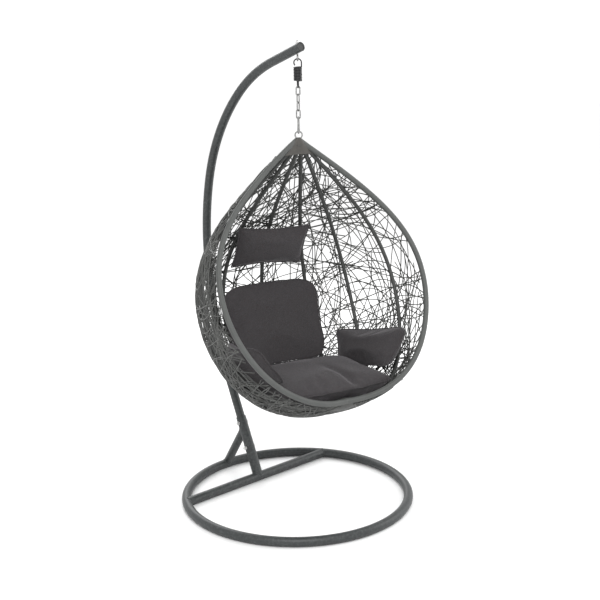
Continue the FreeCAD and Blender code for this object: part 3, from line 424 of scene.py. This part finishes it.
def egg_layer(across, down, out=0.0):
    """Points at a distance outside the egg and its outward normals, in the basket's own frame."""
    across, down = np.broadcast_arrays(np.asarray(across, float), np.asarray(down, float))
    sideways = egg_surface(across + PROBE, down) - egg_surface(across - PROBE, down)
    upward = egg_surface(across, down - PROBE) - egg_surface(across, down + PROBE)
    normal = -np.cross(sideways, upward)
    normal /= np.maximum(np.linalg.norm(normal, axis=-1), 1e-9)[..., None]
    return egg_surface(across, down) + normal * np.asarray(out)[..., None], normal


def in_basket(points):
    """Points of the basket's own frame in the chair's frame."""
    points = np.asarray(points, float)
    c, s = math.cos(BASKET_TURN), math.sin(BASKET_TURN)
    x, y, z = points[..., 0], points[..., 1], points[..., 2]
    return np.stack([x * c - y * s, x * s + y * c + HOOK_Y, z], axis=-1)


def egg(across, down, out=0.0):
    """Points on the egg, or out from it; across is -1 to 1 from rim to rim, down is 0 to 1."""
    return in_basket(egg_layer(across, down, out)[0])


# ---------------------------------------------------------------- basket frame

def make_rim():
    down = np.linspace(RIM_START, 1, 500)
    side = egg(1, down)
    other = egg(-1, down)[:-1][::-1]
    verts, faces = wound_rod(np.concatenate([side, other]), RIM_RADIUS, WIND_PITCH, RIM_RIDGE, 16)
    tone = np.full(len(verts), 0.6)
    rim = add_piece("rim_winding", verts, faces, CANE_RIM, "basket", tone)
    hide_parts("basket_rim")


def make_ribs():
    for name, across, start in (("rib_centre", 0.0, 0.062), ("rib_left_1", -0.237, 0.062),
                                ("rib_right_1", 0.237, 0.062), ("rib_left_2", -0.518, 0.075),
                                ("rib_right_2", 0.518, 0.075), ("rib_left_3", -0.828, 0.11),
                                ("rib_right_3", 0.828, 0.11)):
        line = egg(across, np.linspace(start, RIB_END, 400))
        verts, faces = wound_rod(line, RIB_RADIUS, WIND_PITCH, RIB_RIDGE, 12)
        tone = np.full(len(verts), 0.5)
        # the ribs use the darker cane copy, which is painted shade for the basket's shaded inside
        rib = add_piece(name + "_winding", verts, faces, CANE_SHADED, "basket", tone)
        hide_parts(name)


def make_crown():
    """The cane wound round the top of rim and ribs: a tapering body with level ridges."""
    low, high = 1.507, 1.575
    low_half, top_half = (0.082, 0.021), (0.009, 0.0085)
    back_shift, dip_depth, dip_reach, roundness = 0.0155, 0.006, 0.1, 0.8
    rows, sides = 90, 56
    verts = []
    for row in range(rows + 1):
        level = row / rows
        z = low + (high - low) * level
        half_x = low_half[0] + (top_half[0] - low_half[0]) * level ** roundness
        half_y = low_half[1] + (top_half[1] - low_half[1]) * level
        middle_y = back_shift * (1 - level)
        ridge = ridge_height(level * (high - low), CROWN_RIDGE)
        for side in range(sides):
            angle = 2 * math.pi * side / sides
            c, s = math.cos(angle), math.sin(angle)
            x = (half_x + ridge - RIDGE_BASE) * math.copysign(abs(c) ** roundness, c)
            y = (half_y + ridge - RIDGE_BASE) * math.copysign(abs(s) ** roundness, s)
            dip = dip_depth * (x / dip_reach) ** 2 * (1 - level)
            verts.append((x, middle_y + y, z - dip))
    verts = in_basket(verts)
    faces = closed_rings(rows, sides)
    tone = np.full(len(verts), 0.35)
    crown = add_piece("crown_winding", verts, faces, CANE_CROWN, "basket", tone)
    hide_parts("crown_wrap")


def make_lip():
    """The cane wound round the rib ends under the front lip."""
    half = (0.064, 0.042, 0.022)
    sides, rows = 40, 140
    lean = math.radians(-38)
    centre = np.array((0, -0.338, 0.540))
    verts = []
    for row in range(rows + 1):
        along = -1 + 2 * row / rows
        reach = math.sqrt(max(1 - along * along, 0.0001))
        ridge = ridge_height((along + 1) * half[0], LIP_RIDGE)
        for side in range(sides):
            angle = 2 * math.pi * side / sides
            y = (half[1] + ridge - RIDGE_BASE) * reach * math.cos(angle)
            z = (half[2] + ridge - RIDGE_BASE) * reach * math.sin(angle)
            verts.append((centre[0] + along * half[0], centre[1] + y * math.cos(lean) - z * math.sin(lean),
                          centre[2] + y * math.sin(lean) + z * math.cos(lean)))
    verts = in_basket(verts)
    faces = closed_rings(rows, sides, flip=True)
    lip = add_piece("lip_winding", verts, faces, CANE, "basket", np.full(len(verts), 0.4))
    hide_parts("lip_wrap")


# ---------------------------------------------------------------- weave

STRAND_STEP = 0.01
STRAND_EDGE = 0.995
STRAND_LOW = 0.985
FIRST_BEND = 3.2
BEND_KEPT = 0.99
BEND_DRIFT = 0.35
EVEN_AREA = 1.1e-5


def walk_strands(count, rng, length_low, length_high, top, bottom):
    """Random smooth lines over the egg, as lists of (across, down)."""
    step, probe = STRAND_STEP, PROBE
    across, down = [], []
    while len(across) < count:
        a, d = rng.uniform(-0.97, 0.97), rng.uniform(top, bottom)
        wide = np.linalg.norm(egg(a + probe, d) - egg(a - probe, d))
        tall = np.linalg.norm(egg(a, d + probe) - egg(a, d - probe))
        if rng.uniform(0, 1) < wide * tall / EVEN_AREA:
            across.append(a)
            down.append(d)
    lines = [[] for _ in range(count)]
    heading = np.array([rng.uniform(0, 2 * math.pi) for _ in range(count)])
    for sign in (1, -1):
        a, d = np.array(across), np.array(down)
        angle = heading + (0 if sign > 0 else math.pi)
        bend = np.array([rng.gauss(0, FIRST_BEND) for _ in range(count)])
        reach = np.array([rng.uniform(length_low, length_high) / 2 for _ in range(count)])
        alive = np.ones(count, bool)
        paths = [[(a[k], d[k])] for k in range(count)]
        for turn in range(int(length_high / 2 / step)):
            side = (egg(a + probe, d) - egg(a - probe, d)) / (2 * probe)
            fall = (egg(a, d + probe) - egg(a, d - probe)) / (2 * probe)
            side_length = np.linalg.norm(side, axis=1)
            unit = side / side_length[:, None]
            lean = (fall * unit).sum(axis=1)
            rise = np.linalg.norm(fall - unit * lean[:, None], axis=1)
            change_down = np.sin(angle) / rise
            change_across = (np.cos(angle) - change_down * lean) / side_length
            a = a + change_across * step
            d = d + change_down * step
            bend = bend * BEND_KEPT + np.array([rng.gauss(0, BEND_DRIFT) for _ in range(count)])
            angle = angle + bend * step
            inside = (np.abs(a) < STRAND_EDGE) & (d > top - 0.01) & (d < STRAND_LOW)
            for k in np.nonzero(alive)[0]:
                if not inside[k] or turn * step > reach[k]:
                    alive[k] = False
                else:
                    paths[k].append((a[k], d[k]))
            if not alive.any():
                break
            a = np.clip(a, -STRAND_EDGE, STRAND_EDGE)
            d = np.clip(d, 0.05, STRAND_LOW)
        for k in range(count):
            lines[k] = paths[k][:0:-1] + lines[k] if sign < 0 else lines[k] + paths[k]
    return [line for line in lines if len(line) > 8]


def make_weave():
    """Loose cane strands that cross at random outside the ribs."""
    rng = random.Random(SEED)
    lines = walk_strands(240, rng, 0.6, 2.2, 0.13, 0.97)
    lines += walk_strands(100, rng, 0.3, 1.0, 0.6, 0.97)
    parts = []
    for line in lines:
        line = np.array(line)
        base = rng.uniform(0.0104, 0.0128)
        phase, pace = rng.uniform(0, 6.3), rng.uniform(0.12, 0.3)
        out = base + 0.0012 * np.sin(phase + pace * np.arange(len(line)))
        points = egg(line[:, 0], line[:, 1], out)
        points, _ = resample(points, 0.009)
        verts, faces = tube(points, rng.uniform(0.0019, 0.0023), 6)
        parts.append((verts, faces, rng.uniform(0.1, 0.95)))
    verts, faces, tone = join_meshes(parts)
    weave = add_piece("weave_strands", verts, faces, CANE, "basket", tone)
    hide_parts("weave_shell")


def make_hoop():
    """The thicker wound hoop that ties the ribs together at head height."""
    line = egg(np.linspace(-0.985, 0.985, 300), 0.335, 0.0118)
    verts, faces = wound_rod(line, 0.0034, 0.004, 0.0006, 8)
    # the hoop uses the darker cane copy, which is painted shade for the basket's shaded inside
    add_piece("weave_hoop", verts, faces, CANE_SHADED, "basket", np.full(len(verts), 0.3))


make_rim()
make_ribs()
make_crown()
make_lip()
make_weave()
make_hoop()


# ---------------------------------------------------------------- cushions

CELL = 0.009
PUFF = 0.012
CLOTH_FRAMES = 20
FLAT_SHARE = 0.82
FILLED_SHARE = 0.18
CORD_RADIUS = 0.0026
LINING_DEPTH = 0.010


def lining_at(x, z, out):
    """Where a layer of the egg has a given x and z at the back of the basket, with its normals."""
    across, down = x / 0.5, (1.43 - z) / 1.15
    for _ in range(12):
        point = egg_layer(across, down, out)[0]
        by_across = (egg_layer(across + PROBE, down, out)[0] - point) / PROBE
        by_down = (egg_layer(across, down + PROBE, out)[0] - point) / PROBE
        miss_x, miss_z = x - point[..., 0], z - point[..., 2]
        area = by_across[..., 0] * by_down[..., 2] - by_down[..., 0] * by_across[..., 2]
        across = across + (miss_x * by_down[..., 2] - miss_z * by_down[..., 0]) / area
        down = down + (miss_z * by_across[..., 0] - miss_x * by_across[..., 2]) / area
    return egg_layer(across, down, out)


def back_middle(u, v):
    x = -0.020 + 0.236 * u * (1 + 0.07 * v) * (1 - 0.16 * v**4)
    z = 0.757 + 0.172 * v * (1 - 0.16 * u**4)
    return lining_at(x, z, -0.0685)


def seat_middle(u, v):
    x = 0.300 * u * np.sqrt(np.clip(1 - 0.35 * v * v, 0, 1))
    y = -0.118 + 0.235 * v * np.sqrt(np.clip(1 - 0.3 * u * u, 0, 1))
    z = 0.560 + 0.040 * np.minimum(v, 0) ** 2 + 0.022 * np.maximum(v, 0) ** 2
    return np.stack([x, y, z], axis=-1), np.broadcast_to((0.0, 0.0, 1.0), x.shape + (3,))


def arm_middle(side, station):
    def middle(u, v):
        across = side * (0.68 + 0.30 * u + 0.02 * v) * (1 - 0.05 * v**4 * u * (u > 0))
        down = station + 0.05 * u - 0.068 * v * (1 - 0.14 * u**4) - 0.01 * u * v
        return egg_layer(across, down, -0.0695)
    return middle


def pillow_middle(u, v):
    lean, roll = math.radians(22), math.radians(3)
    up = np.array((math.sin(roll), -math.sin(lean) * math.cos(roll), math.cos(lean) * math.cos(roll)))
    facing = np.array((0, -math.cos(lean), -math.sin(lean)))
    sideways = np.cross(up, facing)
    wide = 0.172 * u * (1 - 0.04 * (1 - v * v))
    high = 0.095 * v * (1 - 0.06 * (1 - u * u))
    points = np.array((-0.020, 0.226, 1.094)) + sideways * wide[..., None] + up * high[..., None]
    return points, np.broadcast_to(-facing, points.shape)


def flat_case(width, height):
    """Two flat panels sewn together along their edges: points, faces and the seam's loop."""
    columns, rows = int(round(width / CELL)), int(round(height / CELL))
    index = {}
    points = []
    for face in (1, -1):
        for r in range(rows + 1):
            for c in range(columns + 1):
                edge = r in (0, rows) or c in (0, columns)
                if edge and face < 0:
                    index[face, r, c] = index[1, r, c]
                    continue
                index[face, r, c] = len(points)
                u, v = 2 * c / columns - 1, 2 * r / rows - 1
                puff = 0 if edge else face * PUFF * (1 - u * u) * (1 - v * v)
                points.append((u * width / 2, v * height / 2, puff))
    faces = []
    for face in (1, -1):
        for r in range(rows):
            for c in range(columns):
                quad = [index[face, r, c], index[face, r, c + 1],
                        index[face, r + 1, c + 1], index[face, r + 1, c]]
                faces.append(quad if face > 0 else quad[::-1])
    loop = ([index[1, 0, c] for c in range(columns)]
            + [index[1, r, columns] for r in range(rows)]
            + [index[1, rows, c] for c in range(columns, 0, -1)]
            + [index[1, r, 0] for r in range(rows, 0, -1)])
    return np.array(points), faces, loop


def fill_case(points, faces, pressure):
    """The sewn case after its filling has pushed it out."""
    mesh = bpy.data.meshes.new("case")
    mesh.from_pydata(points.tolist(), [], faces)
    case = bpy.data.objects.new("case", mesh)
    scene.collection.objects.link(case)
    cloth = case.modifiers.new("Cloth", "CLOTH")
    settings = cloth.settings
    settings.quality = 6
    settings.mass = 0.25
    settings.tension_stiffness = 22
    settings.compression_stiffness = 22
    settings.shear_stiffness = 6
    settings.bending_stiffness = 0.3
    settings.air_damping = 3
    settings.use_pressure = True
    settings.uniform_pressure_force = pressure
    settings.effector_weights.gravity = 0
    cloth.point_cache.frame_start = 1
    cloth.point_cache.frame_end = CLOTH_FRAMES
    for frame_number in range(1, CLOTH_FRAMES + 1):
        scene.frame_set(frame_number)
    result = case.evaluated_get(bpy.context.evaluated_depsgraph_get()).data
    filled = np.array([tuple(vertex.co) for vertex in result.vertices])
    scene.frame_set(1)
    bpy.data.objects.remove(case)
    return filled


def lining_tree():
    """The ribs' inner faces as points and outward normals, to keep the cushions inside them."""
    across, down = np.meshgrid(np.linspace(-0.97, 0.97, 110), np.linspace(0.35, 0.97, 140))
    points, normals = egg_layer(across, down, -LINING_DEPTH)
    points, normals = points.reshape(-1, 3), normals.reshape(-1, 3)
    tree = KDTree(len(points))
    for k, point in enumerate(points):
        tree.insert(point, k)
    tree.balance()
    return tree, points, normals


LINING, LINING_POINTS, LINING_NORMALS = lining_tree()


def kept_inside(points):
    """The points, with any past the lining moved back onto it."""
    for k, point in enumerate(points):
        nearest = LINING.find(point)[1]
        normal = LINING_NORMALS[nearest]
        past = (point - LINING_POINTS[nearest]).dot(normal)
        if 0 < past < 0.2:
            points[k] = point - normal * past
    return points


def make_cushion(name, node, width, height, half, middle, pressure, shape=None):
    """One stuffed case, laid on its middle surface, with a corded seam."""
    flat, faces, loop = flat_case(width, height)
    filled = fill_case(flat, faces, pressure)
    plan = FLAT_SHARE * flat[:, :2] / np.abs(flat[:, :2]).max(axis=0)
    plan = plan + FILLED_SHARE * filled[:, :2] / np.abs(filled[:, :2]).max(axis=0)
    u, v = np.clip(plan, -1, 1).T
    rise = np.clip(filled[:, 2] / np.percentile(np.abs(filled[:, 2]), 97), -1.08, 1.08) * half
    if shape:
        rise = shape(u, v, rise)
    points, normals = middle(u, v)
    points = kept_inside(points - normals * rise[:, None])
    outward = [face[::-1] for face in faces]
    piece = add_piece(name, in_basket(points), outward, CLOTH, "basket")
    smoother = piece.modifiers.new("Subdivision", "SUBSURF")
    smoother.levels = smoother.render_levels = 1
    bpy.context.view_layer.update()
    smooth_mesh = bpy.data.meshes.new_from_object(
        piece.evaluated_get(bpy.context.evaluated_depsgraph_get()))
    piece.modifiers.clear()
    piece.data = smooth_mesh
    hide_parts(node)
    verts, cord_faces = tube(in_basket(points[loop]), CORD_RADIUS, 6, closed=True)
    add_piece(name + "_cord", verts, cord_faces, CLOTH, "basket")


def seat_shape(u, v, rise):
    """The seat's top sags along a line near its middle in front, and stays fuller at its edges."""
    rise = -rise
    fuller = np.copysign(np.abs(rise / 0.08) ** 0.75 * 0.08, rise)
    line = 0.14 + 0.12 * np.clip(-v, 0, 1)
    dip = np.exp(-((u - line) / 0.075) ** 2) * np.clip(0.15 - v, 0, 1)
    return -np.where(rise > 0, fuller - 0.03 * dip * np.clip(fuller / 0.08, 0, 1), fuller)


make_cushion("seat_case", "seat_cushion", 0.62, 0.49, 0.080, seat_middle, 5, seat_shape)
make_cushion("back_case", "back_cushion", 0.51, 0.38, 0.055, back_middle, 4)
make_cushion("arm_left_case", "arm_cushion_left", 0.46, 0.28, 0.057, arm_middle(1, 0.722), 4)
make_cushion("arm_right_case", "arm_cushion_right", 0.46, 0.28, 0.057, arm_middle(-1, 0.71), 4)
make_cushion("pillow_case", "head_pillow", 0.38, 0.22, 0.042, pillow_middle, 4)


# ---------------------------------------------------------------- spring and welds

def make_spring():
    """The spring as one wire: upper hook, coil and lower hook."""
    axis = np.array((0, HOOK_Y, 0))
    radius, top_z, low_z = 0.015, 1.8548, 1.7992
    top_turn, low_turn = math.radians(-45), math.radians(55)
    turns = math.radians(100 + 9 * 360)

    def hook(turn, centre_z, angles):
        out = np.array((math.cos(turn), math.sin(turn), 0))
        return axis + radius * np.cos(angles)[:, None] * out + np.stack(
            [0 * angles, 0 * angles, centre_z + radius * np.sin(angles)], axis=1)
    upper = hook(top_turn, 1.8716, np.radians(np.linspace(225, 0, 50)))
    angles = top_turn + np.linspace(0, turns, 600)
    coil = axis + np.stack([radius * np.cos(angles), radius * np.sin(angles),
                            np.linspace(top_z, low_z, 600)], axis=1)
    lower = hook(low_turn, 1.788, np.radians(np.linspace(0, -225, 50)))
    line, _ = resample(np.concatenate([upper, coil, lower]), 0.0012)
    verts, faces = tube(line, 0.0028, 12)
    spring = add_piece("spring_wire", verts, faces, SPRING, None)
    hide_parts("spring_top_hook", "spring_coil", "spring_bottom_hook")
    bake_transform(spring)


POST_RADIUS = 0.0225
BRACE_RADIUS = 0.019
BAR_RADIUS = 0.020
BAR_Y = 0.215
BRACE_Y = 0.439
RING_RADIUS = 0.485
RING_Y = -0.046


def make_welds():
    """Weld beads where the stand's tubes meet."""
    rng = random.Random(SEED + 1)
    around = np.linspace(0, 2 * math.pi, 90, endpoint=False)
    c, s = np.cos(around), np.sin(around)
    lean, brace_lean = math.radians(23.5), math.radians(33)
    post_way = np.array((0, math.sin(lean), math.cos(lean)))
    brace_way = np.array((0, -math.sin(brace_lean), math.cos(brace_lean)))
    sideways = np.array((1, 0, 0))
    post_foot, brace_foot = np.array((0, BAR_Y, BAR_RADIUS)), np.array((0, BRACE_Y, BAR_RADIUS))
    loops = []
    for foot, way, radius in ((post_foot, post_way, POST_RADIUS), (brace_foot, brace_way, BRACE_RADIUS)):
        across = np.cross(sideways, way)
        along = np.sqrt(np.clip(BAR_RADIUS**2 - (radius * s) ** 2, 0, None))
        loops.append(foot + along[:, None] * way + radius * (c[:, None] * sideways + s[:, None] * across))
    across = np.cross(sideways, brace_way)
    post_side = np.cross(sideways, post_way)
    offset = (brace_foot - post_foot).dot(post_side)
    near = math.copysign(1, offset) * np.sqrt(
        np.clip(POST_RADIUS**2 - (BRACE_RADIUS * c) ** 2, 0, None))
    along = (near - offset - BRACE_RADIUS * s * across.dot(post_side)) / brace_way.dot(post_side)
    loops.append(brace_foot + along[:, None] * brace_way
                 + BRACE_RADIUS * (c[:, None] * sideways + s[:, None] * across))
    for end in (1, -1):
        y, z = BAR_Y + BAR_RADIUS * c, BAR_RADIUS + BAR_RADIUS * s
        reach = RING_RADIUS - BAR_RADIUS * np.abs(c)
        x = end * np.sqrt(reach**2 - (y - RING_Y) ** 2)
        loops.append(np.stack([x, y, z], axis=1))
    parts = []
    for loop in loops:
        bead = 0.0024 + 0.0007 * np.sin(around * 22)[:, None] + np.array(
            [rng.uniform(-0.0002, 0.0002) for _ in around])[:, None]
        verts, faces = tube(loop, np.broadcast_to(bead, (len(loop), 8)), 8, closed=True)
        parts.append((verts, faces, 0.5))
    verts, faces, _ = join_meshes(parts)
    verts[:, 2] = np.maximum(verts[:, 2], 0.0005)
    add_piece("weld_beads", verts, faces, WELD, "stand")


make_spring()
make_welds()


# ---------------------------------------------------------------- stage

def make_stage():
    bpy.ops.mesh.primitive_plane_add(size=40, location=(0, 0, 0))
    floor = bpy.context.object
    floor.name = "floor"
    material, shader = new_material("floor", (0.93, 0.93, 0.93), 0.8)
    shader.inputs["Specular IOR Level"].default_value = 0.1
    floor.data.materials.append(material)
    world = bpy.data.worlds.new("world")
    world.use_nodes = True
    world.node_tree.nodes["Background"].inputs["Color"].default_value = (1, 1, 1, 1)
    world.node_tree.nodes["Background"].inputs["Strength"].default_value = 1.1
    scene.world = world
    for name, place, aim, size, power in (
            ("key", (-2.6, -3.2, 4.0), (0, 0, 0.9), 2.6, 120),
            ("fill", (3.6, -2.4, 2.4), (0, 0, 0.9), 3.0, 60),
            ("back", (1.5, 3.6, 3.2), (0, 0, 1.0), 2.5, 70)):
        data = bpy.data.lights.new(name, "AREA")
        data.size = size
        data.energy = power
        light = bpy.data.objects.new(name, data)
        light.location = place
        light.rotation_euler = (Vector(aim) - Vector(place)).to_track_quat("-Z", "Y").to_euler()
        scene.collection.objects.link(light)
    scene.view_settings.view_transform = "Standard"


make_stage()
